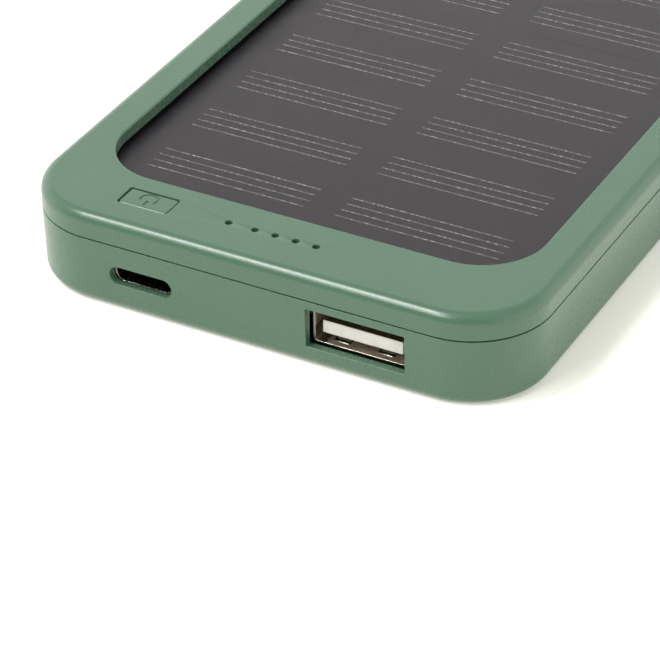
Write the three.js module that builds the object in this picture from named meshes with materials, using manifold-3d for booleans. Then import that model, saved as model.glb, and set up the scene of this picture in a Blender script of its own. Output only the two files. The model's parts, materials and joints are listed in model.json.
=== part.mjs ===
// Solar phone charger: a pocket power bank with a solar panel set into its top cover.
// Millimetres, +Z up. The origin is at the middle of the underside, and the ports face -Y.
import * as THREE from 'three';
import { mergeVertices } from 'three/addons/utils/BufferGeometryUtils.js';
import Module from 'manifold-3d';

const wasm = await Module();
wasm.setup();

// ---- Driving dimensions ----
const WIDTH = 70.7;
const HEIGHT = 13;
const CORNER_R = 10.9;
const PARTING_Z = 9.45; // where the two covers meet
const TOP_FILLET = 1.5;
const BOTTOM_FILLET = 1.5;
const WALL = 1.5;
const PORT_WALL = 1.25; // the end wall that the ports open through
const PLATE = 1.6; // thickness of the top cover over the inside
const FIT = 0.05; // clearance between pieces that fit together
const LAYER_GAP = 0.02; // between pieces stacked face on face

// Solar panel: two columns of cell strips under one film.
const CELL_ROWS = 10;
const ROW_PITCH = 11.48;
const CELL = { width: 23.6, length: 11.1, thickness: 0.2 };
const COLUMN_X = 13.7; // middle of each column of cells from the centre line
const CELL_MARGIN = 2.45; // from the last row's pitch to the window's edge
const WINDOW = { width: 60.3, end: 11.4, radius: 8.9 }; // end: frame width at each end
const PANEL_DROP = 1.8; // from the top face down to the film
const PANEL_OVERLAP = 1.4; // how far the panel reaches under the frame
const PANEL_R = 3;
const FILM = 0.3;
const PANEL_BOARD = 1;

const LENGTH = CELL_ROWS * ROW_PITCH + 2 * (CELL_MARGIN + WINDOW.end);
const FRONT = -LENGTH / 2; // outer face of the port end

// Key and light holes share one line behind the port end.
const CONTROL_Y = FRONT + 6.68;
const KEY = { x: -18.6, width: 6.95, depth: 3.6, gap: 0.15, recess: 0.12, travel: 0.3 };
const LIGHT_HOLE_R = 0.5;
const LIGHT_XS = [-7.02, ...[0, 1, 2, 3].map((i) => -3.28 + 2.867 * i)];

// Ports, measured from the middle of each opening.
const USB_A = { x: 14.03, z: 5.56, openZ: 5.48, openWidth: 13.6, openHeight: 5.56, setback: 1.65 };
const USB_C = { x: -16.31, z: 5.12, openWidth: 9, openHeight: 2.6, setback: 1.35 };
const USB_A_SHELL = { width: 13.1, height: 5.72, length: 14, sheet: 0.3 };
const USB_C_SHELL = { width: 8.94, height: 3.16, length: 7.3, sheet: 0.3 };

// Main board, hung on posts above the connectors.
const BOARD = { halfWidth: 31, front: FRONT + 1.65, back: -47.5, thickness: 1, cornerR: 8 };
const BOARD_Z = USB_C.z + USB_C_SHELL.height / 2 + FIT;
const BOARD_TOP = BOARD_Z + BOARD.thickness;
const POST_X = 27;
const SCREW_Y = -51;
const PIN_Y = -62.5;

// Battery, lying flat behind the main board.
const CELL_PACK = { width: 60, front: -38.5, back: 66.5, z: 1.85, thickness: 6.5, edge: 1 };

// Levels worked out from the above.
const PLATE_UNDER = HEIGHT - PLATE;
const FILM_TOP = HEIGHT - PANEL_DROP;
const PANEL_BOARD_TOP = FILM_TOP - FILM - CELL.thickness - 2 * LAYER_GAP;
const PANEL_UNDER = PANEL_BOARD_TOP - PANEL_BOARD;

// ---- Shapes ----
function roundedRect(width, height, radius, cx = 0, cy = 0) {
  const x = width / 2 - radius;
  const y = height / 2 - radius;
  const shape = new THREE.Shape();
  shape.moveTo(cx + x, cy - y - radius);
  shape.absarc(cx + x, cy - y, radius, -Math.PI / 2, 0);
  shape.absarc(cx + x, cy + y, radius, 0, Math.PI / 2);
  shape.absarc(cx - x, cy + y, radius, Math.PI / 2, Math.PI);
  shape.absarc(cx - x, cy - y, radius, Math.PI, Math.PI * 1.5);
  shape.closePath();
  return shape;
}

function circle(radius, cx = 0, cy = 0) {
  const shape = new THREE.Shape();
  shape.absarc(cx, cy, radius, 0, Math.PI * 2);
  return shape;
}

// ---- Solids ----
function solidOf(geometry) {
  geometry.deleteAttribute('normal');
  geometry.deleteAttribute('uv');
  const merged = mergeVertices(geometry, 1e-5);
  const mesh = new wasm.Mesh({
    numProp: 3,
    vertProperties: new Float32Array(merged.attributes.position.array),
    triVerts: new Uint32Array(merged.index.array),
  });
  return new wasm.Manifold(mesh);
}

function geometryOf(solid) {
  const mesh = solid.getMesh();
  const geometry = new THREE.BufferGeometry();
  geometry.setAttribute('position', new THREE.BufferAttribute(mesh.vertProperties, 3));
  geometry.setIndex(new THREE.BufferAttribute(mesh.triVerts, 1));
  geometry.computeVertexNormals();
  return geometry;
}

// A shape drawn in X and Y, between two heights.
function slab(shape, z0, z1, segments = 6) {
  const geometry = new THREE.ExtrudeGeometry(shape, {
    depth: z1 - z0, bevelEnabled: false, curveSegments: segments,
  });
  return solidOf(geometry.translate(0, 0, z0));
}

// A shape drawn in X and Z, between two places along Y.
function slabAlongY(shape, y0, y1, segments = 6) {
  const geometry = new THREE.ExtrudeGeometry(shape, {
    depth: y1 - y0, bevelEnabled: false, curveSegments: segments,
  });
  return solidOf(geometry.rotateX(Math.PI / 2).translate(0, y1, 0));
}

// A slab whose top and bottom edges are rounded by the same fillet.
function filletedSlab(shape, z0, z1, fillet, steps = 3, segments = 6) {
  const geometry = new THREE.ExtrudeGeometry(shape, {
    depth: z1 - z0 - 2 * fillet,
    bevelThickness: fillet,
    bevelSize: fillet,
    bevelOffset: -fillet,
    bevelSegments: steps,
    curveSegments: segments,
  });
  return solidOf(geometry.translate(0, 0, z0 + fillet));
}

function block(x0, x1, y0, y1, z0, z1) {
  const geometry = new THREE.BoxGeometry(x1 - x0, y1 - y0, z1 - z0);
  return solidOf(geometry.translate((x0 + x1) / 2, (y0 + y1) / 2, (z0 + z1) / 2));
}

function post(radius, x, y, z0, z1, segments = 8) {
  return slab(circle(radius, x, y), z0, z1, segments);
}

function lead(points, radius) {
  const path = new THREE.CatmullRomCurve3(points.map((p) => new THREE.Vector3(...p)));
  return solidOf(new THREE.ExtrudeGeometry(circle(radius), {
    steps: 16, bevelEnabled: false, extrudePath: path, curveSegments: 4,
  }));
}

// ---- Assembly ----
const charger = new THREE.Group();

function section(x = 0, y = 0, z = 0) {
  const group = new THREE.Group();
  group.position.set(x, y, z);
  charger.add(group);
  return group;
}

function add(group, name, solid, finish, place = [0, 0, 0]) {
  const mesh = new THREE.Mesh(geometryOf(solid), new THREE.MeshStandardMaterial(finish));
  mesh.name = name;
  mesh.position.set(...place);
  group.add(mesh);
}

const GREEN_PLASTIC = { color: 0x3f7358, roughness: 0.45, metalness: 0 };
const BLACK_PLASTIC = { color: 0x17181a, roughness: 0.5, metalness: 0 };
const WHITE_PLASTIC = { color: 0xf2efe8, roughness: 0.4, metalness: 0 };
const PANEL_FILM = { color: 0x35333a, roughness: 0.35, metalness: 0 };
const SILICON = { color: 0x1d1f2b, roughness: 0.3, metalness: 0.2 };
const BOARD_GREEN = { color: 0x1f5a34, roughness: 0.5, metalness: 0 };
const PANEL_BOARD_BLACK = { color: 0x1c1d20, roughness: 0.6, metalness: 0 };
const TAPE_BLACK = { color: 0x141414, roughness: 0.9, metalness: 0 };
const TAPE_WHITE = { color: 0xe6e4dc, roughness: 0.9, metalness: 0 };
const CONNECTOR_STEEL = { color: 0xc9c4ba, roughness: 0.3, metalness: 1 };
const GOLD = { color: 0xd9b25c, roughness: 0.3, metalness: 1 };
const NICKEL = { color: 0xb9b7b0, roughness: 0.35, metalness: 1 };
const POUCH_FOIL = { color: 0xb4b6b8, roughness: 0.45, metalness: 0.8 };
const LED_LENS = { color: 0xf1efdc, roughness: 0.3, metalness: 0 };
const CERAMIC = { color: 0xb08d5e, roughness: 0.6, metalness: 0 };
const FERRITE = { color: 0x3c3d40, roughness: 0.7, metalness: 0 };
const LEAD_RED = { color: 0xb3231d, roughness: 0.5, metalness: 0 };
const LEAD_BLACK = { color: 0x1a1a1a, roughness: 0.5, metalness: 0 };

// Outline of the inside, held off the sides and the back by one distance and off the port
// end by another.
function insideOutline(side, front) {
  const length = LENGTH - side - front;
  return roundedRect(WIDTH - 2 * side, length, CORNER_R - side, 0, (front - side) / 2);
}

function keyPocket(margin) {
  return roundedRect(KEY.width + 2 * margin, KEY.depth + 2 * margin, 0.3, KEY.x, CONTROL_Y);
}

// ---- Case ----
function bottomCover() {
  const blank = filletedSlab(roundedRect(WIDTH, LENGTH, CORNER_R), 0, HEIGHT, BOTTOM_FILLET);
  const rim = PARTING_Z - LAYER_GAP;
  const usbAOpening = block(
    USB_A.x - USB_A.openWidth / 2, USB_A.x + USB_A.openWidth / 2,
    FRONT - 1, FRONT + 2 * PORT_WALL,
    USB_A.openZ - USB_A.openHeight / 2, USB_A.openZ + USB_A.openHeight / 2,
  );
  const usbCShape = roundedRect(
    USB_C.openWidth, USB_C.openHeight, USB_C.openHeight / 2 - 0.001, USB_C.x, USB_C.z,
  );
  let cover = blank
    .subtract(block(-WIDTH, WIDTH, -LENGTH, LENGTH, rim, 2 * HEIGHT))
    .subtract(slab(insideOutline(WALL, PORT_WALL), WALL, HEIGHT))
    .subtract(usbAOpening)
    .subtract(slabAlongY(usbCShape, FRONT - 1, FRONT + 2 * PORT_WALL));
  const postTop = BOARD_Z - FIT;
  for (const x of [-POST_X, POST_X]) {
    cover = cover
      .add(post(2.1, x, SCREW_Y, WALL - 0.2, postTop))
      .subtract(post(0.85, x, SCREW_Y, 2, HEIGHT))
      .add(post(2.1, x, PIN_Y, WALL - 0.2, postTop))
      .add(post(0.85, x, PIN_Y, WALL, BOARD_TOP - FIT));
    const rib = Math.sign(x) * 22;
    cover = cover.add(block(rib - 4, rib + 4, -41.6, -40.8, WALL - 0.2, 5));
  }
  return cover;
}

function topCover() {
  const blank = filletedSlab(roundedRect(WIDTH, LENGTH, CORNER_R), 0, HEIGHT, TOP_FILLET);
  const lipDepth = 0.75;
  const lipInner = FIT + 0.8;
  const rim = PARTING_Z + LAYER_GAP;
  const inside = insideOutline(WALL + lipInner, PORT_WALL + lipInner);
  const lip = slab(insideOutline(WALL + FIT, PORT_WALL + FIT), rim - lipDepth, rim + 0.5)
    .subtract(slab(inside, 0, HEIGHT));
  const window = roundedRect(WINDOW.width, LENGTH - 2 * WINDOW.end, WINDOW.radius);
  let cover = blank
    .subtract(block(-WIDTH, WIDTH, -LENGTH, LENGTH, -1, rim))
    .subtract(slab(inside, 0, PLATE_UNDER))
    .subtract(slab(window, 0, 2 * HEIGHT, 8))
    .subtract(slab(keyPocket(KEY.gap), 0, 2 * HEIGHT, 3))
    .add(lip);
  for (const x of LIGHT_XS) {
    cover = cover.subtract(post(LIGHT_HOLE_R, x, CONTROL_Y, 0, 2 * HEIGHT, 6));
  }
  return cover;
}

const caseGroup = section();
add(caseGroup, 'bottom_cover', bottomCover(), GREEN_PLASTIC);
add(caseGroup, 'top_cover', topCover(), GREEN_PLASTIC);

// ---- Key and switch ----
const SWITCH = { side: 5.2, height: 1.5, plungerR: 1.3, boreR: 1.4, plungerTop: 2.2 };
const switchZ = BOARD_TOP + LAYER_GAP;

function powerButton() {
  const flangeTop = PLATE_UNDER - FIT;
  const flangeUnder = flangeTop - 0.5;
  const cap = filletedSlab(keyPocket(0), flangeUnder, HEIGHT - KEY.recess, 0.25, 2, 3);
  const flange = slab(keyPocket(0.6), flangeUnder, flangeTop, 3);
  const pinFoot = switchZ + SWITCH.plungerTop + FIT;
  return cap.add(flange).add(post(1.1, KEY.x, CONTROL_Y, pinFoot, flangeUnder + 0.4));
}

function tactSwitchBody() {
  return slab(roundedRect(SWITCH.side, SWITCH.side, 0.4), 0, SWITCH.height, 2)
    .subtract(post(SWITCH.boreR, 0, 0, 0.2, 2 * SWITCH.height));
}

const controls = section(KEY.x, CONTROL_Y, switchZ);
add(section(), 'power_button', powerButton(), GREEN_PLASTIC);
add(controls, 'tact_switch_body', tactSwitchBody(), BLACK_PLASTIC);
add(controls, 'tact_switch_plunger',
  post(SWITCH.plungerR, 0, 0, 0.2 + KEY.travel + FIT, SWITCH.plungerTop), WHITE_PLASTIC);

// ---- Charge lights ----
function lightShroud() {
  const x0 = LIGHT_XS[0] - 1.5;
  const x1 = LIGHT_XS.at(-1) + 1.5;
  let shroud = block(x0, x1, CONTROL_Y - 1.7, CONTROL_Y + 1.7, BOARD_TOP + 0.8, PLATE_UNDER - FIT);
  for (const x of LIGHT_XS) {
    shroud = shroud.subtract(post(0.75, x, CONTROL_Y, 0, HEIGHT, 6));
  }
  return shroud;
}

const lights = section(0, CONTROL_Y, BOARD_TOP + LAYER_GAP);
add(section(), 'light_shroud', lightShroud(), BLACK_PLASTIC);
LIGHT_XS.forEach((x, i) => {
  add(lights, `led_${i + 1}`, block(-0.8, 0.8, -0.4, 0.4, 0, 0.65), LED_LENS, [x, 0, 0]);
});

// ---- Main board and what is soldered to it ----
function mainBoard() {
  const { halfWidth, front, back, cornerR } = BOARD;
  const shape = new THREE.Shape();
  shape.moveTo(halfWidth, back);
  shape.lineTo(-halfWidth, back);
  shape.absarc(-halfWidth + cornerR, front + cornerR, cornerR, Math.PI, Math.PI * 1.5);
  shape.absarc(halfWidth - cornerR, front + cornerR, cornerR, -Math.PI / 2, 0);
  shape.closePath();
  const notch = USB_A_SHELL.width / 2 + 0.2;
  let board = slab(shape, BOARD_Z, BOARD_TOP)
    .subtract(block(USB_A.x - notch, USB_A.x + notch, front - 1,
      FRONT + USB_A.setback + USB_A_SHELL.length + 0.2, 0, HEIGHT));
  for (const x of [-POST_X, POST_X]) {
    board = board
      .subtract(post(1.1, x, SCREW_Y, 0, HEIGHT))
      .subtract(post(0.95, x, PIN_Y, 0, HEIGHT));
  }
  return board;
}

function boardScrew() {
  const headR = 1.8;
  const shankR = 0.75;
  const profile = [[0, -4], [shankR * 0.5, -4], [shankR, -3.4], [shankR, 0], [headR, 0],
    [headR, 0.6], [headR * 0.7, 1.05], [0, 1.15]];
  const points = profile.map(([r, z]) => new THREE.Vector2(r, z));
  return solidOf(new THREE.LatheGeometry(points, 16).rotateX(Math.PI / 2));
}

const electronics = section(0, 0, BOARD_TOP + LAYER_GAP);
add(section(), 'main_board', mainBoard(), BOARD_GREEN);
add(electronics, 'board_screw_left', boardScrew(), NICKEL, [-POST_X, SCREW_Y, 0]);
add(electronics, 'board_screw_right', boardScrew(), NICKEL, [POST_X, SCREW_Y, 0]);
add(electronics, 'charge_controller_chip', block(-2.5, 2.5, -2.5, 2.5, 0, 0.9), BLACK_PLASTIC,
  [-9, -55, 0]);
add(electronics, 'capacitor_1', block(-1.6, 1.6, -0.8, 0.8, 0, 1.3), CERAMIC, [-15, -53, 0]);
add(electronics, 'capacitor_2', block(-1.6, 1.6, -0.8, 0.8, 0, 1.3), CERAMIC, [-15, -56.5, 0]);
const inductorHeight = 3.4;
add(section(0, 0, BOARD_Z - FIT - inductorHeight), 'boost_inductor',
  slab(roundedRect(6.6, 6.6, 1), 0, inductorHeight, 3), FERRITE, [-1, -57, 0]);

// ---- USB-A port ----
function usbAShell() {
  const { width, height, length, sheet } = USB_A_SHELL;
  let shell = slabAlongY(roundedRect(width, height, 0.6), 0, length, 3)
    .subtract(slabAlongY(roundedRect(width - 2 * sheet, height - 2 * sheet, 0.3), -1, length + 1, 3));
  // Each spring tab is left standing in its window, joined to the shell at the back.
  for (const x of [-3.05, 3.05]) {
    for (const side of [-1, 1]) {
      const middle = side * (height - sheet) / 2;
      const z0 = middle - sheet / 2;
      const z1 = middle + sheet / 2;
      shell = shell
        .subtract(block(x - 1.15, x + 1.15, 1.05, 6, middle - sheet, middle + sheet))
        .add(block(x - 0.85, x + 0.85, 1.5, 6.05, z0, z1));
    }
  }
  return shell;
}

const USB_A_TONGUE = { halfWidth: 5.55, under: -1.61, top: 0.23, front: 0.65, root: 10 };

function usbATongue() {
  const { halfWidth, under, top, front, root } = USB_A_TONGUE;
  const inside = 2 * (USB_A_SHELL.sheet + FIT);
  const base = roundedRect(USB_A_SHELL.width - inside, USB_A_SHELL.height - inside, 0.4);
  return slabAlongY(base, root, USB_A_SHELL.length - 0.1, 3).add(
    block(-halfWidth, halfWidth, front, root + 0.5, under, top));
}

const usbA = section(USB_A.x, FRONT + USB_A.setback, USB_A.z);
add(usbA, 'usb_a_shell', usbAShell(), CONNECTOR_STEEL);
add(usbA, 'usb_a_tongue', usbATongue(), WHITE_PLASTIC);
[-3.5, -1, 1, 3.5].forEach((x, i) => {
  const bottom = USB_A_TONGUE.top + LAYER_GAP;
  const strip = block(-0.5, 0.5, 2, USB_A_TONGUE.root - FIT, bottom, bottom + 0.18);
  add(usbA, `usb_a_contact_${i + 1}`, strip, GOLD, [x, 0, 0]);
});

// ---- USB-C port ----
function stadium(width, height) {
  return roundedRect(width, height, height / 2 - 0.001);
}

function usbCShell() {
  const { width, height, length, sheet } = USB_C_SHELL;
  const inside = stadium(width - 2 * sheet, height - 2 * sheet);
  return slabAlongY(stadium(width, height), 0, length)
    .subtract(slabAlongY(inside, -1, length + 1));
}

function usbCTongue() {
  const { width, height, length, sheet } = USB_C_SHELL;
  const inside = 2 * (sheet + FIT);
  const root = 5.6;
  return slabAlongY(stadium(width - inside, height - inside), root, length)
    .add(block(-3.45, 3.45, 4.6, root + 0.3, -0.6, 0.6))
    .add(block(-3.35, 3.35, 0.9, root, -0.35, 0.35));
}

const usbC = section(USB_C.x, FRONT + USB_C.setback, USB_C.z);
add(usbC, 'usb_c_shell', usbCShell(), CONNECTOR_STEEL);
add(usbC, 'usb_c_tongue', usbCTongue(), BLACK_PLASTIC);

// ---- Battery ----
const TERRACE = { halfWidth: 27, depth: 2, z0: 4.4, z1: 5.5 };

function batteryCell() {
  const { width, front, back, z, thickness, edge } = CELL_PACK;
  const middle = (front + back) / 2;
  const pouch = roundedRect(width, back - front, 2, 0, middle);
  return filletedSlab(pouch, z, z + thickness, edge, 2, 3).add(
    block(-TERRACE.halfWidth, TERRACE.halfWidth, front - TERRACE.depth, front + 1,
      TERRACE.z0, TERRACE.z1));
}

const battery = section();
const tabZ = 4.87;
const tabBack = CELL_PACK.front - TERRACE.depth - LAYER_GAP;
const guardBack = tabBack - 1.6;
const guardFront = guardBack - 3;
add(battery, 'battery_cell', batteryCell(), POUCH_FOIL);
add(battery, 'battery_adhesive_pad',
  slab(roundedRect(40, 80, 2, 0, 14), WALL + LAYER_GAP, CELL_PACK.z - LAYER_GAP, 2), TAPE_WHITE);
add(battery, 'protection_board',
  block(-15, 15, guardFront, guardBack, tabZ - LAYER_GAP - 0.8, tabZ - LAYER_GAP), BOARD_GREEN);
const tab = block(-2, 2, guardBack - 1.4, tabBack, tabZ, tabZ + 0.15);
add(battery, 'battery_tab_positive', tab, NICKEL, [-12, 0, 0]);
add(battery, 'battery_tab_negative', tab, NICKEL, [12, 0, 0]);

// ---- Leads, each along its real route ----
const BATTERY_LEAD_R = 0.5;
const SOLAR_LEAD_R = 0.4;

function batteryLead(x) {
  const start = tabZ + BATTERY_LEAD_R + FIT;
  const end = BOARD_Z - BATTERY_LEAD_R - FIT;
  return lead([[x, guardBack - 0.4, start], [x, guardFront - 0.2, start],
    [x, BOARD.back - 0.4, end - 0.1], [x, BOARD.back - 3, end]], BATTERY_LEAD_R);
}

function solarLead(x) {
  const start = PANEL_UNDER - SOLAR_LEAD_R - FIT;
  const end = BOARD_TOP + SOLAR_LEAD_R + FIT;
  return lead([[x, -28, start], [x, -36, start], [x, -42, start - 0.3],
    [x, -46.5, end + 0.1], [x, -50.5, end]], SOLAR_LEAD_R);
}

add(battery, 'battery_lead_red', batteryLead(-5), LEAD_RED);
add(battery, 'battery_lead_black', batteryLead(5), LEAD_BLACK);
add(battery, 'solar_lead_red', solarLead(-2), LEAD_RED);
add(battery, 'solar_lead_black', solarLead(2), LEAD_BLACK);

// ---- Solar panel ----
const panelWidth = WINDOW.width + 2 * PANEL_OVERLAP;
const panelLength = LENGTH - 2 * (WINDOW.end - PANEL_OVERLAP);

function panelTape() {
  const inner = roundedRect(
    WINDOW.width + 0.4, LENGTH - 2 * WINDOW.end + 0.4, WINDOW.radius + 0.2);
  return slab(roundedRect(panelWidth, panelLength, PANEL_R), 0, PANEL_DROP - PLATE - 2 * LAYER_GAP, 3)
    .subtract(slab(inner, -1, 1, 8));
}

// The film is laminated to the board all round, so its rim reaches down past the cells.
function panelFilm() {
  const rim = 1;
  const under = -FILM - CELL.thickness - LAYER_GAP;
  return slab(roundedRect(panelWidth, panelLength, PANEL_R), under, 0, 3)
    .subtract(slab(roundedRect(panelWidth - 2 * rim, panelLength - 2 * rim, PANEL_R - rim),
      -1, -FILM, 3));
}

const panel = section(0, 0, FILM_TOP);
add(panel, 'solar_tape', panelTape(), TAPE_BLACK, [0, 0, LAYER_GAP]);
add(panel, 'solar_film', panelFilm(), PANEL_FILM);
add(panel, 'solar_board', slab(roundedRect(panelWidth, panelLength, PANEL_R), 0, PANEL_BOARD, 3),
  PANEL_BOARD_BLACK, [0, 0, PANEL_UNDER - FILM_TOP]);

const strip = block(
  -CELL.width / 2, CELL.width / 2, -CELL.length / 2, CELL.length / 2, 0, CELL.thickness);
const cellZ = PANEL_BOARD_TOP + LAYER_GAP - FILM_TOP;
for (const [side, x] of [['left', -COLUMN_X], ['right', COLUMN_X]]) {
  for (let row = 0; row < CELL_ROWS; row += 1) {
    const y = (row - (CELL_ROWS - 1) / 2) * ROW_PITCH;
    const number = String(row + 1).padStart(2, '0');
    add(panel, `solar_cell_${side}_${number}`, strip, SILICON, [x, y, cellZ]);
  }
}

export default charger;
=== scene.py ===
"""Solar phone charger: the looks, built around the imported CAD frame."""

import json
import math

import bmesh
import bpy
from mathutils import Matrix, Vector
from mathutils.geometry import delaunay_2d_cdt


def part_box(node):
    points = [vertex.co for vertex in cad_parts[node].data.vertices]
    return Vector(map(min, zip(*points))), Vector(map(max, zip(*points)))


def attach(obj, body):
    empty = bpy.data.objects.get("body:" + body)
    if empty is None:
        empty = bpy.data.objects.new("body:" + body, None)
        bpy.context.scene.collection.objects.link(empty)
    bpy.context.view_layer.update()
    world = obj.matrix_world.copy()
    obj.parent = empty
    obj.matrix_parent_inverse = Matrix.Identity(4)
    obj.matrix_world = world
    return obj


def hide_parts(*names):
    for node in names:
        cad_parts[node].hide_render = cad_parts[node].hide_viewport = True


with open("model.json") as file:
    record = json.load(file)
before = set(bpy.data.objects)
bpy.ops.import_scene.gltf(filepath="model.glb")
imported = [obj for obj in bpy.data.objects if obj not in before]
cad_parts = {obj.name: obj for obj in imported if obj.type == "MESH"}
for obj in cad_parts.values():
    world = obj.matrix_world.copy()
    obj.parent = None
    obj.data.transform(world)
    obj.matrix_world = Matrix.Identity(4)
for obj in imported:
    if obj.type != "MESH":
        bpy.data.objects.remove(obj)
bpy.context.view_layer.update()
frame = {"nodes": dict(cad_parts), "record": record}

MM = 0.001
QUARTER = math.pi / 2


def spot(node):
    """Lowest and highest corner of a CAD node, in millimetres."""
    low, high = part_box(node)
    return Vector(low) / MM, Vector(high) / MM


# ---- Places and sizes, in millimetres, read from the frame or shared with it ----
case_low, case_high = spot("top_cover")
tub_low, tub_high = spot("bottom_cover")
WIDTH = case_high.x - case_low.x
LENGTH = case_high.y - case_low.y
TOP = case_high.z
FRONT = case_low.y
CORNER_R = 10.9
WALL, PORT_WALL, PLATE = 1.5, 1.25, 1.6
PLATE_UNDER = TOP - PLATE
LIP_FOOT = case_low.z
TOP_RIM = LIP_FOOT + 0.75
TUB_RIM = tub_high.z
TOP_FILLET, BOTTOM_FILLET = 1.5, 1.5
DRAFT = 0.23
SEAM_EDGE, SEAM_GAP, SEAM_DEPTH = 0.05, 0.15, 0.6
CORNER_STEPS = 20
LIP_OUT, LIP_IN = 0.05, 0.85  # the top cover's lip, measured in from the tub's wall

WINDOW_W, WINDOW_END, WINDOW_R = 60.3, 11.4, 8.9
WINDOW_EDGE, POCKET_EDGE, LIGHT_EDGE, PORT_EDGE = 0.25, 0.1, 0.05, 0.1

key_low, key_high = spot("power_button")
KEY_X, CONTROL_Y = (key_low.x + key_high.x) / 2, (key_low.y + key_high.y) / 2
KEY_W, KEY_D, KEY_R, KEY_GAP, KEY_FLANGE = 6.95, 3.6, 0.3, 0.15, 0.6
KEY_FILLET, KEY_SIDE_FILLET = 0.4, 0.16


def middle(node):
    low, high = spot(node)
    return (low + high) / 2


LIGHT_XS = [middle(f"led_{i}").x for i in range(1, 6)]
LIGHT_R = 0.5

# Board posts and battery ribs in the tub.
POST_X, POST_R, BORE_R, SCREW_Y, PIN_Y = 27.0, 2.1, 0.85, -51.0, -62.5
POST_TOP = spot("main_board")[0].z - 0.05
SCREW_BORE_FOOT, PIN_TOP = 2.0, POST_TOP + 1.0
RIB_X, RIB_Y, RIB_TOP = 22, -41.2, 5.0

# Ports. An opening is width, height, corner radius and middle; a shield is a bent steel sheet.
USB_A_OPENING = (13.6, 5.56, 0.15, middle("usb_a_shell").x, 5.48)
USB_C_OPENING = (9.0, 2.6, 1.29, middle("usb_c_shell").x, middle("usb_c_shell").z)
SHEET, SHEET_EDGE = 0.3, 0.04
USB_A_SHIELD, USB_C_SHIELD = (13.1, 5.72, 0.6), (8.94, 3.16, 1.57)
SPRING_XS, SPRING_HALF, SPRING_CUT_HALF = (-3.05, 3.05), 0.9, 1.15
USB_A_TONGUE, USB_A_TONGUE_DROP, USB_A_ROOT = (11.1, 1.84, 0.2), 0.69, 10
USB_C_BLADE, USB_C_STOP, USB_C_BASE = (6.7, 0.7, 0.3), (6.9, 1.2, 0.3), (8.24, 2.46, 1.22)
PADS_PER_ROW, PAD_PITCH, PAD_HALF, PAD_HEIGHT = 12, 0.5, 0.12, 0.04

# Solar cells.
CELL_SHEET = 0.008
FINGER_LENGTH, FINGER_WIDTH, FINGER_PITCH, FINGERS = 22.85, 0.18, 1.53, 4


# ---- Mesh building: closed shells from rings, strips between them and flat fills ----
def rounded(w, h, r, cx=0.0, cy=0.0, steps=CORNER_STEPS):
    """Points round a rounded rectangle. The side from the last point to the first is the low one."""
    points = []
    corners = [(1, -1, -1), (1, 1, 0), (-1, 1, 1), (-1, -1, 2)]
    for sx, sy, quarter in corners:
        for i in range(steps + 1):
            a = (quarter + i / steps) * QUARTER
            x = cx + sx * (w / 2 - r) + r * math.cos(a)
            y = cy + sy * (h / 2 - r) + r * math.sin(a)
            points.append((x, y))
    return points


def round_dot(r, cx, cy, count=36):
    turn = [2 * math.pi * i / count for i in range(count)]
    return [(cx + r * math.cos(t), cy + r * math.sin(t)) for t in turn]


def inside(side, front):
    """The case outline, held in by one distance at the sides and back, another at the ports."""
    length = LENGTH - side - front
    return rounded(WIDTH - 2 * side, length, CORNER_R - side, 0, (front - side) / 2)


def side_start(count, side):
    """Where a side of a rounded rectangle starts in its ring of count points."""
    return count // 4 * ("right", "high", "left", "low").index(side) + count // 4 - 1


def within(point, loop):
    """True if a point is inside a closed outline."""
    crossings = 0
    for a, b in zip(loop, loop[1:] + loop[:1]):
        if (a.y > point.y) != (b.y > point.y):
            crossings += point.x < a.x + (point.y - a.y) / (b.y - a.y) * (b.x - a.x)
    return crossings % 2 == 1


class Shell:
    """One closed mesh, made in millimetres and finished in metres."""

    def __init__(self):
        self.bm = bmesh.new()

    def ring(self, points, z=None):
        if z is not None:
            points = [(x, y, z) for x, y in points]
        return [self.bm.verts.new(p) for p in points]

    def strip(self, a, b, skip=()):
        """Joins two rings by a band of faces, leaving out the sides in skip."""
        n = len(a)
        left_out = [side_start(n, side) for side in skip]
        for i in range(n):
            if i not in left_out:
                j = (i + 1) % n
                self.bm.faces.new((a[i], a[j], b[j], b[i]))

    def stack(self, rings, skip_at=None, skip=()):
        for i in range(len(rings) - 1):
            self.strip(rings[i], rings[i + 1], skip if i == skip_at else ())

    def fill(self, *rings):
        """Closes a flat area bounded by the first ring, with the others as holes in it."""
        verts = [v for ring in rings for v in ring]
        height = max(v.co.z for v in verts) - min(v.co.z for v in verts)
        depth = max(v.co.y for v in verts) - min(v.co.y for v in verts)
        flat = [Vector((v.co.x, v.co.z if depth < height else v.co.y)) for v in verts]
        edges, loops, first = [], [], 0
        for ring in rings:
            n = len(ring)
            edges += [(first + i, first + (i + 1) % n) for i in range(n)]
            loops.append(flat[first:first + n])
            first += n
        smallest = 1e-7
        _, _, faces, origins, _, _ = delaunay_2d_cdt(flat, edges, [], 0, smallest)
        for face in faces:
            corners = [origins[i][0] for i in face]
            centre = sum((flat[i] for i in corners), Vector((0, 0))) / 3
            if sum(within(centre, loop) for loop in loops) % 2:
                self.bm.faces.new([verts[i] for i in corners])

    def piece(self, name, sharp=None):
        bmesh.ops.recalc_face_normals(self.bm, faces=self.bm.faces)
        bmesh.ops.scale(self.bm, vec=(MM, MM, MM), verts=self.bm.verts)
        for face in self.bm.faces:
            face.smooth = True
        if sharp is not None:
            for edge in self.bm.edges:
                if len(edge.link_faces) == 2 and edge.calc_face_angle() > math.radians(sharp):
                    edge.smooth = False
        mesh = bpy.data.meshes.new(name)
        self.bm.to_mesh(mesh)
        self.bm.free()
        obj = bpy.data.objects.new(name, mesh)
        bpy.context.collection.objects.link(obj)
        weighted = obj.modifiers.new("even_normals", "WEIGHTED_NORMAL")
        weighted.keep_sharp = True
        return obj


def arc(count, start=0.0, end=QUARTER):
    return [start + (end - start) * i / count for i in range(count + 1)]


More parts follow.
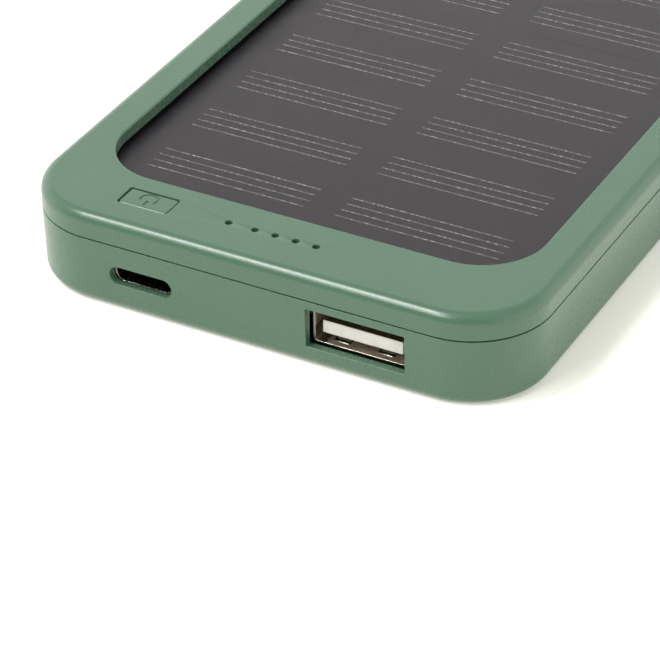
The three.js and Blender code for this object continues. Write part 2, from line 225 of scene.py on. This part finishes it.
def rounded_rim(shell, outline_at, z, radius):
    """Rings that turn a flat face at z down into a hole over a rounded edge. outline_at(grow)
    gives the hole's outline grown by a distance."""
    return [shell.ring(outline_at(radius * (1 - math.sin(t))), z - radius * (1 - math.cos(t)))
            for t in arc(4)]


# ---- Case ----
def top_cover():
    s = Shell()
    rim = TOP_RIM + SEAM_GAP
    levels = [(SEAM_DEPTH, TOP_RIM), (SEAM_DEPTH, rim), (SEAM_EDGE, rim),
              (SEAM_EDGE * 0.3, rim + SEAM_EDGE * 0.3), (0, rim + SEAM_EDGE)]
    levels += [(TOP_FILLET * (1 - math.cos(t)), TOP - TOP_FILLET * (1 - math.sin(t)))
               for t in arc(12)]
    outer = [s.ring(inside(d, d), z) for d, z in levels]
    s.stack(outer)
    inner = [outer[0]]
    for d, z in ((LIP_OUT, TOP_RIM), (LIP_OUT, LIP_FOOT), (LIP_IN, LIP_FOOT), (LIP_IN, PLATE_UNDER)):
        inner.append(s.ring(inside(WALL + d, PORT_WALL + d), z))
    s.stack(inner)

    def window(grow):
        return rounded(WINDOW_W + 2 * grow, LENGTH - 2 * WINDOW_END + 2 * grow, WINDOW_R + grow)

    def pocket(grow):
        g = KEY_GAP + grow
        return rounded(KEY_W + 2 * g, KEY_D + 2 * g, KEY_R + g, KEY_X, CONTROL_Y, 6)

    holes = [(window, WINDOW_EDGE), (pocket, POCKET_EDGE)]
    for x in LIGHT_XS:
        holes.append((lambda grow, x=x: round_dot(LIGHT_R + grow, x, CONTROL_Y), LIGHT_EDGE))
    tops, feet = [], []
    for outline, radius in holes:
        rings = rounded_rim(s, outline, TOP, radius)
        rings.append(s.ring(outline(0), PLATE_UNDER))
        s.stack(rings)
        tops.append(rings[0])
        feet.append(rings[-1])
    s.fill(outer[-1], *tops)
    s.fill(inner[-1], *feet)
    return s.piece("top_cover_shell", sharp=50)


def draft_at(z):
    """How far the tub's side leans in at a height."""
    return DRAFT * (TUB_RIM - z) / TUB_RIM


def bottom_cover():
    s = Shell()
    levels = [(SEAM_EDGE, TUB_RIM), (SEAM_EDGE * 0.3, TUB_RIM - SEAM_EDGE * 0.3),
              (0, TUB_RIM - SEAM_EDGE), (draft_at(BOTTOM_FILLET), BOTTOM_FILLET)]
    wall_strip = len(levels) - 2
    for t in arc(8)[1:]:
        lean = draft_at(BOTTOM_FILLET) + BOTTOM_FILLET * (1 - math.cos(t))
        levels.append((lean, BOTTOM_FILLET * (1 - math.sin(t))))
    outer = [s.ring(inside(d, d), z) for d, z in levels]
    s.stack(outer, wall_strip, ("low",))
    s.fill(outer[-1])
    inner = [outer[0]] + [s.ring(inside(WALL, PORT_WALL), z) for z in (TUB_RIM, WALL)]
    s.stack(inner, 1, ("low",))

    # The port openings run straight back from the leaning outer face to the inner face.
    near, far = [], []
    for w, h, r, x, z in (USB_A_OPENING, USB_C_OPENING):
        rings = []
        for t in arc(4):
            grow, depth = PORT_EDGE * (1 - math.sin(t)), PORT_EDGE * (1 - math.cos(t))
            outline = rounded(w + 2 * grow, h + 2 * grow, r + grow, x, z, 12)
            rings.append(s.ring([(u, FRONT + draft_at(v) + depth, v) for u, v in outline]))
        rings.append(s.ring([(u, FRONT + PORT_WALL, v) for u, v in outline]))
        s.stack(rings)
        near.append(rings[0])
        far.append(rings[-1])
    for a, b, holes in ((outer[wall_strip], outer[wall_strip + 1], near),
                        (inner[1], inner[2], far)):
        s.fill([a[-1], a[0], b[0], b[-1]], *holes)

    # Board posts, two bored for screws and two with locating pins, and the battery's stop ribs.
    feet = []
    for x in (-POST_X, POST_X):
        for y, end in ((SCREW_Y, SCREW_BORE_FOOT), (PIN_Y, PIN_TOP)):
            rings = [s.ring(round_dot(r, x, y), z)
                     for r, z in ((POST_R, WALL), (POST_R, POST_TOP), (BORE_R, POST_TOP), (BORE_R, end))]
            s.stack(rings)
            s.fill(rings[-1])
            feet.append(rings[0])
        rib = rounded(8, 0.8, 0.2, math.copysign(RIB_X, x), RIB_Y, 3)
        rings = [s.ring(rib, z) for z in (WALL, RIB_TOP)]
        s.stack(rings)
        s.fill(rings[-1])
        feet.append(rings[0])
    s.fill(inner[2], *feet)
    return s.piece("bottom_cover_shell", sharp=50)


# ---- Key ----
def power_symbol():
    """Outlines of the generic on/off mark, each a function of how much narrower it is cut."""
    x, y, r, squash, half = KEY_X - 0.14, CONTROL_Y + 0.42, 1.17, 0.88, 0.18
    start, end = math.radians(-41), math.radians(221)

    def ring(narrow):
        w = half - narrow
        turn = arc(28, start, end)
        out = [(x + (r + w) * math.cos(t), y + (r * squash + w) * math.sin(t)) for t in turn]
        back = [(x + (r - w) * math.cos(t), y + (r * squash - w) * math.sin(t)) for t in turn]
        return out + back[::-1]

    def bar(narrow):
        w = 2 * (half - narrow)
        return rounded(w, 1.2, w / 2 - 0.001, x, y - 1.0, 4)

    return ring, bar


def power_key():
    s = Shell()
    top, foot = key_high.z, key_low.z
    flange_top = PLATE_UNDER - 0.05
    flange_foot = flange_top - 0.5

    def cap(turned):
        """The key's outline, drawn in as its edge turns over, most at the front."""
        d, front = KEY_SIDE_FILLET * turned, KEY_FILLET * turned
        y = CONTROL_Y + (front - d) / 2
        return rounded(KEY_W - 2 * d, KEY_D - d - front, KEY_R + 0.05 - d, KEY_X, y, 8)

    pin = [s.ring(round_dot(r, KEY_X, CONTROL_Y), z)
           for r, z in ((0.95, foot), (1.1, foot + 0.15), (1.1, flange_foot))]
    s.fill(pin[0])
    s.stack(pin)
    w, d = KEY_W + 2 * KEY_FLANGE, KEY_D + 2 * KEY_FLANGE
    flange = [s.ring(rounded(w, d, 0.9, KEY_X, CONTROL_Y, 8), z) for z in (flange_foot, flange_top)]
    s.fill(flange[0], pin[-1])
    s.strip(*flange)
    side = [s.ring(cap(0), flange_top)]
    side += [s.ring(cap(1 - math.cos(t)), top - KEY_FILLET * (1 - math.sin(t))) for t in arc(6)]
    s.fill(flange[1], side[0])
    s.stack(side)
    marks = []
    for mark in power_symbol():
        cut = [s.ring(mark(n), top - z) for n, z in ((0, 0), (0.03, 0.05), (0.07, 0.14))]
        s.stack(cut)
        s.fill(cut[-1])
        marks.append(cut[0])
    s.fill(side[-1], *marks)
    return s.piece("power_key", sharp=50)


# ---- Ports ----
def along(s, outline, x, z, y):
    """A ring in an upright plane at y, from an outline about a port's middle."""
    return s.ring([(x + u, y, z + v) for u, v in outline])


def port_shield(name, node, size, cuts=()):
    """A tube of sheet metal open towards the ports, with a rounded rim. The cuts go through its
    floor and its roof."""
    s = Shell()
    low, high = spot(node)
    x, z = middle(node).x, middle(node).z
    width, height, radius = size
    steps = 10

    def outer(shrink):
        return rounded(width - 2 * shrink, height - 2 * shrink, radius - shrink, 0, 0, steps)

    def inner(grow):
        d = SHEET - grow
        return rounded(width - 2 * d, height - 2 * d, max(radius - d, 0.3 + grow), 0, 0, steps)

    outside, inwards = [], []
    for t in arc(4):
        turn, y = SHEET_EDGE * (1 - math.sin(t)), low.y + SHEET_EDGE * (1 - math.cos(t))
        outside.append(along(s, outer(turn), x, z, y))
        inwards.append(along(s, inner(turn), x, z, y))
    s.strip(outside[0], inwards[0])
    outside.append(along(s, outer(0), x, z, high.y))
    inwards.append(along(s, inner(0), x, z, high.y))
    skip = ("low", "high") if cuts else ()
    for rings in (outside, inwards):
        s.stack(rings, len(rings) - 2, skip)
    s.strip(outside[-1], inwards[-1])
    for side in skip:
        edges = []
        for rings, depth in ((outside, height / 2), (inwards, height / 2 - SHEET)):
            level = z + (depth if side == "high" else -depth)
            start = side_start(len(rings[-1]), side)
            near, far = rings[-2], rings[-1]
            end = (start + 1) % len(near)
            holes = [s.ring([(x + u, low.y + v, level) for u, v in cut]) for cut in cuts]
            s.fill([near[start], near[end], far[end], far[start]], *holes)
            edges.append(holes)
        for a, b in zip(*edges):
            s.strip(a, b)
    return s.piece(name, sharp=50)


def spring_cut(x):
    """The U-shaped cut that frees a spring tab, measured from the port's mouth."""
    wide, narrow, near, tip, far = SPRING_CUT_HALF, SPRING_HALF, 1.05, 1.5, 6
    return [(x - wide, far), (x - wide, near), (x + wide, near), (x + wide, far),
            (x + narrow, far), (x + narrow, tip), (x - narrow, tip), (x - narrow, far)]


def spring_lips():
    """The turned-up edges in front of the spring tabs."""
    s = Shell()
    near, far, half, sunk, height = 0.93, 1.05, 0.95, 0.02, 0.06
    port, mouth = middle("usb_a_shell"), spot("usb_a_shell")[0].y
    floor = port.z - USB_A_SHIELD[1] / 2 + SHEET
    for x in SPRING_XS:
        x += port.x
        bar_box(s, (x - half, mouth + near, floor - sunk), (x + half, mouth + far, floor + height), 0.03)
    return s.piece("usb_a_spring_lips", sharp=50)


def usb_a_tongue():
    s = Shell()
    low, high = spot("usb_a_tongue")
    x, z = middle("usb_a_shell").x, middle("usb_a_shell").z
    tongue_z, root = z - USB_A_TONGUE_DROP, spot("usb_a_shell")[0].y + USB_A_ROOT
    width, height, radius = USB_A_TONGUE
    edge = 0.14

    def tongue(shrink):
        return rounded(width - 2 * shrink, height - 2 * shrink, radius - shrink, 0, 0, 4)

    rings = [along(s, tongue(edge * (1 - math.sin(t))), x, tongue_z, low.y + edge * (1 - math.cos(t)))
             for t in arc(3)]
    rings.append(along(s, tongue(0), x, tongue_z, root))
    s.fill(rings[0])
    s.stack(rings)
    s.bm.normal_update()
    # The top faces take the second material, a dark brown painted shade for the shadow that falls on the
    # tongue's top inside the port.
    for face in s.bm.faces:
        if face.calc_center_median().z > tongue_z + height / 2 - 0.02:
            face.material_index = 1
    base = [along(s, rounded(12.4, 5.02, 0.4, 0, 0, 4), x, z, y) for y in (root, high.y)]
    s.fill(base[0], rings[-1])
    s.strip(*base)
    s.fill(base[1])
    return s.piece("usb_a_insulator", sharp=50)


def usb_c_tongue():
    s = Shell()
    low, high = spot("usb_c_tongue")
    x, z = middle("usb_c_tongue").x, middle("usb_c_tongue").z
    root, step = high.y - 1.7, high.y - 2.7

    def outline(size, slimmer=0.0):
        width, height, radius = size
        return rounded(width - slimmer, height - slimmer, radius - slimmer / 2, 0, 0, 5)

    blade = [along(s, outline(USB_C_BLADE, slimmer), x, z, y)
             for slimmer, y in ((0.2, low.y), (0, low.y + 0.12), (0, step))]
    stop = [along(s, outline(USB_C_STOP), x, z, y) for y in (step, root)]
    base = [along(s, outline(USB_C_BASE), x, z, y) for y in (root, high.y)]
    s.fill(blade[0])
    s.stack(blade)
    s.fill(stop[0], blade[-1])
    s.strip(*stop)
    s.fill(base[0], stop[1])
    s.strip(*base)
    s.fill(base[1])
    return s.piece("usb_c_insulator", sharp=50)


def bar_box(s, low, high, edge=0.03):
    """A small closed block with its upright corners rounded and its top edge turned over."""
    w, d = high[0] - low[0], high[1] - low[1]
    cx, cy = (low[0] + high[0]) / 2, (low[1] + high[1]) / 2
    rings = [s.ring(rounded(w - 2 * e, d - 2 * e, edge * 1.5 - e, cx, cy, 2), z)
             for e, z in ((0, low[2]), (0, high[2] - edge), (edge, high[2]))]
    s.fill(rings[0])
    s.stack(rings)
    s.fill(rings[-1])


def usb_c_pads():
    """The two rows of contact pads on the tongue, which the solids leave out."""
    s = Shell()
    tongue, tip, near, far = middle("usb_c_tongue"), spot("usb_c_tongue")[0].y, 0.6, 3.2
    face = USB_C_BLADE[1] / 2
    for side in (-1, 1):
        foot, top = sorted(tongue.z + side * level for level in (face, face + PAD_HEIGHT))
        for i in range(PADS_PER_ROW):
            x = tongue.x + (i - (PADS_PER_ROW - 1) / 2) * PAD_PITCH
            bar_box(s, (x - PAD_HALF, tip + near, foot), (x + PAD_HALF, tip + far, top), 0.01)
    return s.piece("usb_c_pads", sharp=50)


# ---- Solar cells ----
def panel_board():
    """The panel's board, its top level with the underside of the thin cell sheets."""
    s = Shell()
    low, high = spot("solar_board")
    top = spot("solar_cell_left_01")[1].z - CELL_SHEET
    w, d = high.x - low.x, high.y - low.y
    rings = [s.ring(rounded(w, d, 3), z) for z in (low.z, top)]
    s.fill(rings[0])
    s.strip(*rings)
    s.fill(rings[1])
    return s.piece("panel_board_slab", sharp=50)


def solar_cell(node):
    """One cell sheet with its printed silver fingers."""
    s = Shell()
    low, high = spot(node)
    low.z = high.z - CELL_SHEET
    bar_box(s, low, high, 0.003)
    silicon = len(s.bm.faces)
    centre = middle(node)
    half_length, half_width, height = FINGER_LENGTH / 2, FINGER_WIDTH / 2, 0.015
    for i in range(FINGERS):
        y = centre.y + (i - (FINGERS - 1) / 2) * FINGER_PITCH
        bar_box(s, (centre.x - half_length, y - half_width, high.z),
                (centre.x + half_length, y + half_width, high.z + height), 0.006)
    s.bm.faces.ensure_lookup_table()
    for face in s.bm.faces[silicon:]:
        face.material_index = 1
    return s.piece(node + "_strip", sharp=50)


# ---- Camera ----
CAMERA = {"azimuth": 28.475, "elevation": 33.753, "roll": -0.729, "distance": 411.39,
          "right": 9.437, "up": 2.403, "lens": 180.567}


def add_camera():
    az, el, roll = (math.radians(CAMERA[k]) for k in ("azimuth", "elevation", "roll"))
    right = Vector((math.cos(az), math.sin(az), 0))
    back = Vector((math.sin(az) * math.cos(el), -math.cos(az) * math.cos(el), math.sin(el)))
    up = back.cross(right)
    port_foot = Vector((0, FRONT, 0))
    aim = port_foot + right * CAMERA["right"] + up * CAMERA["up"]
    place = (aim + back * CAMERA["distance"]) * MM
    turned_right = right * math.cos(roll) + up * math.sin(roll)
    turned_up = up * math.cos(roll) - right * math.sin(roll)
    axes = Matrix((turned_right, turned_up, back)).transposed()
    data = bpy.data.cameras.new("camera")
    data.lens = CAMERA["lens"]
    data.sensor_width = 36
    data.clip_start, data.clip_end = 0.01, 20
    camera = bpy.data.objects.new("camera", data)
    camera.matrix_world = Matrix.Translation(place) @ axes.to_4x4()
    bpy.context.collection.objects.link(camera)
    bpy.context.scene.camera = camera


# ---- Materials ----
class Finish:
    """A Principled material whose colour, roughness and grain vary by noise in object space."""

    def __init__(self, name, color, roughness, metallic=0.0):
        self.material = bpy.data.materials.new(name)
        self.material.use_nodes = True
        self.tree = self.material.node_tree
        self.shader = self.tree.nodes["Principled BSDF"]
        self.color = color
        self.set("Base Color", (*color, 1))
        self.set("Roughness", roughness)
        self.set("Metallic", metallic)
        self.set("IOR", 1.5)
        self.place = self.node("ShaderNodeTexCoord").outputs["Object"]

    def set(self, socket, value):
        self.shader.inputs[socket].default_value = value
        return self

    def node(self, kind, **values):
        node = self.tree.nodes.new(kind)
        for key, value in values.items():
            setattr(node, key, value)
        return node

    def link(self, a, b):
        self.tree.links.new(a, b)

    def noise(self, size_mm, detail=3.0):
        """Noise with features about size_mm across."""
        noise = self.node("ShaderNodeTexNoise")
        noise.inputs["Scale"].default_value = 1 / (MM * size_mm)
        noise.inputs["Detail"].default_value = detail
        self.link(self.place, noise.inputs["Vector"])
        return noise.outputs["Fac"]

    def between(self, value, low, high, start=0.3, end=0.7):
        """value, taken from start..end to low..high."""
        span = self.node("ShaderNodeMapRange")
        for socket, number in (("From Min", start), ("From Max", end), ("To Min", low), ("To Max", high)):
            span.inputs[socket].default_value = number
        self.link(value, span.inputs["Value"])
        return span.outputs["Result"]

    def mottle(self, size_mm, amount, detail=3.0, start=0.3, end=0.7):
        """The colour goes lighter and darker by amount."""
        shade = self.node("ShaderNodeMix", data_type="RGBA")
        shade.inputs["A"].default_value = (*[c * (1 - amount) for c in self.color], 1)
        shade.inputs["B"].default_value = (*[min(1, c * (1 + amount)) for c in self.color], 1)
        fleck = self.between(self.noise(size_mm, detail), 0, 1, start, end)
        self.link(fleck, shade.inputs["Factor"])
        self.link(shade.outputs["Result"], self.shader.inputs["Base Color"])
        return self

    def polish(self, size_mm, low, high):
        """The roughness varies between low and high."""
        self.link(self.between(self.noise(size_mm), low, high), self.shader.inputs["Roughness"])
        return self

    def grain(self, size_mm, depth_mm):
        """A fine bump of that size and depth."""
        bump = self.node("ShaderNodeBump")
        bump.inputs["Strength"].default_value = 1
        bump.inputs["Distance"].default_value = depth_mm * MM
        self.link(self.noise(size_mm, 2.0), bump.inputs["Height"])
        self.link(bump.outputs["Normal"], self.shader.inputs["Normal"])
        return self


def green_plastic():
    f = Finish("green_plastic", (0.075, 0.154, 0.1), 0.27)
    return f.mottle(9, 0.03).polish(0.6, 0.25, 0.29).grain(0.11, 0.003).material


def film_finish():
    f = Finish("panel_film", (0.012, 0.009, 0.014), 0.32)
    f.set("Alpha", 0.05)
    return f.polish(2.5, 0.3, 0.34).material


def plain(name, color, roughness, metallic=0.0, size=1.5, grain=0.002):
    """A finish that varies a little in colour and roughness."""
    f = Finish(name, color, roughness, metallic)
    amount, spread = 0.06, roughness * 0.12
    f.mottle(size, amount).polish(size, roughness - spread, roughness + spread)
    return f.grain(size / 4, grain).material if grain else f.material


SLOT_FINISH = {
    "case_green": green_plastic(),
    "black_plastic": plain("black_plastic", (0.012, 0.012, 0.013), 0.45),
    "white_plastic": plain("white_plastic", (0.92, 0.9, 0.86), 0.35),
    "panel_film": film_finish(),
    "silicon": plain("silicon", (0.012, 0.009, 0.015), 0.32, size=4, grain=0),
    "panel_board": plain("panel_board", (0.012, 0.009, 0.015), 0.32, size=4, grain=0),
    "circuit_board": plain("circuit_board", (0.012, 0.1, 0.035), 0.35, size=3),
    "black_tape": plain("black_tape", (0.01, 0.01, 0.01), 0.8),
    "white_tape": plain("white_tape", (0.75, 0.73, 0.68), 0.85),
    "connector_steel": plain("connector_steel", (0.72, 0.66, 0.57), 0.15, 1.0, grain=0.001),
    "gold_contact": plain("gold_contact", (0.85, 0.62, 0.28), 0.28, 1.0),
    "nickel": plain("nickel", (0.62, 0.6, 0.56), 0.35, 1.0),
    "pouch_foil": plain("pouch_foil", (0.6, 0.61, 0.62), 0.4, 0.9, size=6),
    "led_lens": plain("led_lens", (0.8, 0.75, 0.5), 0.25),
    "ceramic": plain("ceramic", (0.38, 0.25, 0.12), 0.55),
    "ferrite": plain("ferrite", (0.04, 0.04, 0.042), 0.7),
    "lead_red": plain("lead_red", (0.45, 0.015, 0.012), 0.4),
    "lead_black": plain("lead_black", (0.01, 0.01, 0.01), 0.4),
}


def silver_print():
    """Silver lines whose colour breaks at random into lighter and darker dots: uneven print, with a
    painted sparkle in the lighter dots.
    """
    f = Finish("silver_fingers", (0.32, 0.3, 0.32), 0.4)
    return f.mottle(0.42, 0.66, 1.0, start=0.46, end=0.76).polish(0.5, 0.35, 0.45).material


SILVER = silver_print()
# A dark brown painted shade, worn by the white tongue's top where it lies in shadow inside the USB-A
# port.
PAINTED_SHADE_PLASTIC = plain("painted_shade_plastic", (0.07, 0.055, 0.038), 0.5)


def wear(obj, material):
    obj.data.materials.clear()
    obj.data.materials.append(material)


for part in frame["record"]["subparts"]:
    wear(frame["nodes"][part["node"]], SLOT_FINISH[part["material_slot"]])


def fit(piece, body, slot, *nodes, extra=()):
    """Puts a detailed piece in the place of its CAD nodes. extra materials follow the slot's."""
    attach(piece, body)
    if nodes:
        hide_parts(*nodes)
    for material in (SLOT_FINISH[slot], *extra):
        piece.data.materials.append(material)


fit(top_cover(), "case", "case_green", "top_cover")
fit(bottom_cover(), "case", "case_green", "bottom_cover")
fit(power_key(), "power_key", "case_green", "power_button")
springs = [spring_cut(x) for x in SPRING_XS]
fit(port_shield("usb_a_shield", "usb_a_shell", USB_A_SHIELD, springs),
    "case", "connector_steel", "usb_a_shell")
fit(spring_lips(), "case", "connector_steel")
fit(port_shield("usb_c_shield", "usb_c_shell", USB_C_SHIELD), "case", "connector_steel", "usb_c_shell")
fit(usb_a_tongue(), "case", "white_plastic", "usb_a_tongue", extra=[PAINTED_SHADE_PLASTIC])
fit(usb_c_tongue(), "case", "black_plastic", "usb_c_tongue")
fit(usb_c_pads(), "case", "gold_contact")
for part in frame["record"]["subparts"]:
    if part["material_slot"] == "silicon":
        fit(solar_cell(part["node"]), "case", "silicon", part["node"], extra=[SILVER])
fit(panel_board(), "case", "panel_board", "solar_board")


# ---- Floor and light ----
def add_floor():
    bm = bmesh.new()
    bmesh.ops.create_grid(bm, x_segments=1, y_segments=1, size=3)
    mesh = bpy.data.meshes.new("floor")
    bm.to_mesh(mesh)
    bm.free()
    floor = bpy.data.objects.new("floor", mesh)
    floor.location.z = -0.02 * MM
    bpy.context.collection.objects.link(floor)
    f = Finish("floor_panel", (0.9, 0.89, 0.83), 0.9)
    f.set("Emission Color", (1, 0.99, 0.91, 1)).set("Emission Strength", 0.29)
    wear(floor, f.mottle(60, 0.004).material)


# Direction towards each lamp, its strength and how many degrees across it looks.
LAMPS = {"softbox_back": ((-0.396, -0.212, 0.895), 1.1, 16),
         "softbox_middle": ((-0.396, -0.36, 0.845), 0.8, 16),
         "softbox_front": ((-0.264, -0.589, 0.765), 0.9, 16)}
# The white walls are brighter than the ceiling, a little more so on the right and less in front.
WALL_LIGHT, CEILING_LIGHT = 1.43, 0.6
RIGHT_WALL, FRONT_WALL = 1.15, 0.15


def add_light():
    world = bpy.data.worlds.new("world")
    bpy.context.scene.world = world
    world.use_nodes = True
    sky = world.node_tree.nodes["Background"]
    sky.inputs["Color"].default_value = (1.0, 0.985, 0.945, 1)
    nodes, links = world.node_tree.nodes, world.node_tree.links
    place = nodes.new("ShaderNodeTexCoord").outputs["Generated"]
    way = nodes.new("ShaderNodeSeparateXYZ")
    links.new(place, way.inputs["Vector"])
    strength = None
    for axis, start, end, low, high in (("Z", 0.4, 0.7, WALL_LIGHT, CEILING_LIGHT),
                                        ("X", 0.2, 0.7, 1, RIGHT_WALL), ("Y", -0.7, -0.2, FRONT_WALL, 1)):
        blend = nodes.new("ShaderNodeMapRange")
        for socket, number in (("From Min", start), ("From Max", end), ("To Min", low), ("To Max", high)):
            blend.inputs[socket].default_value = number
        links.new(way.outputs[axis], blend.inputs["Value"])
        if strength is None:
            strength = blend.outputs["Result"]
            continue
        times = nodes.new("ShaderNodeMath")
        times.operation = "MULTIPLY"
        links.new(strength, times.inputs[0])
        links.new(blend.outputs["Result"], times.inputs[1])
        strength = times.outputs["Value"]
    links.new(strength, sky.inputs["Strength"])
    for name, (toward, energy, across) in LAMPS.items():
        data = bpy.data.lights.new(name, "SUN")
        data.energy = energy
        data.angle = math.radians(across)
        light = bpy.data.objects.new(name, data)
        light.rotation_euler = Vector(toward).to_track_quat("Z", "Y").to_euler()
        bpy.context.collection.objects.link(light)


add_camera()
add_floor()
add_light()
bpy.context.scene.view_settings.view_transform = "Standard"
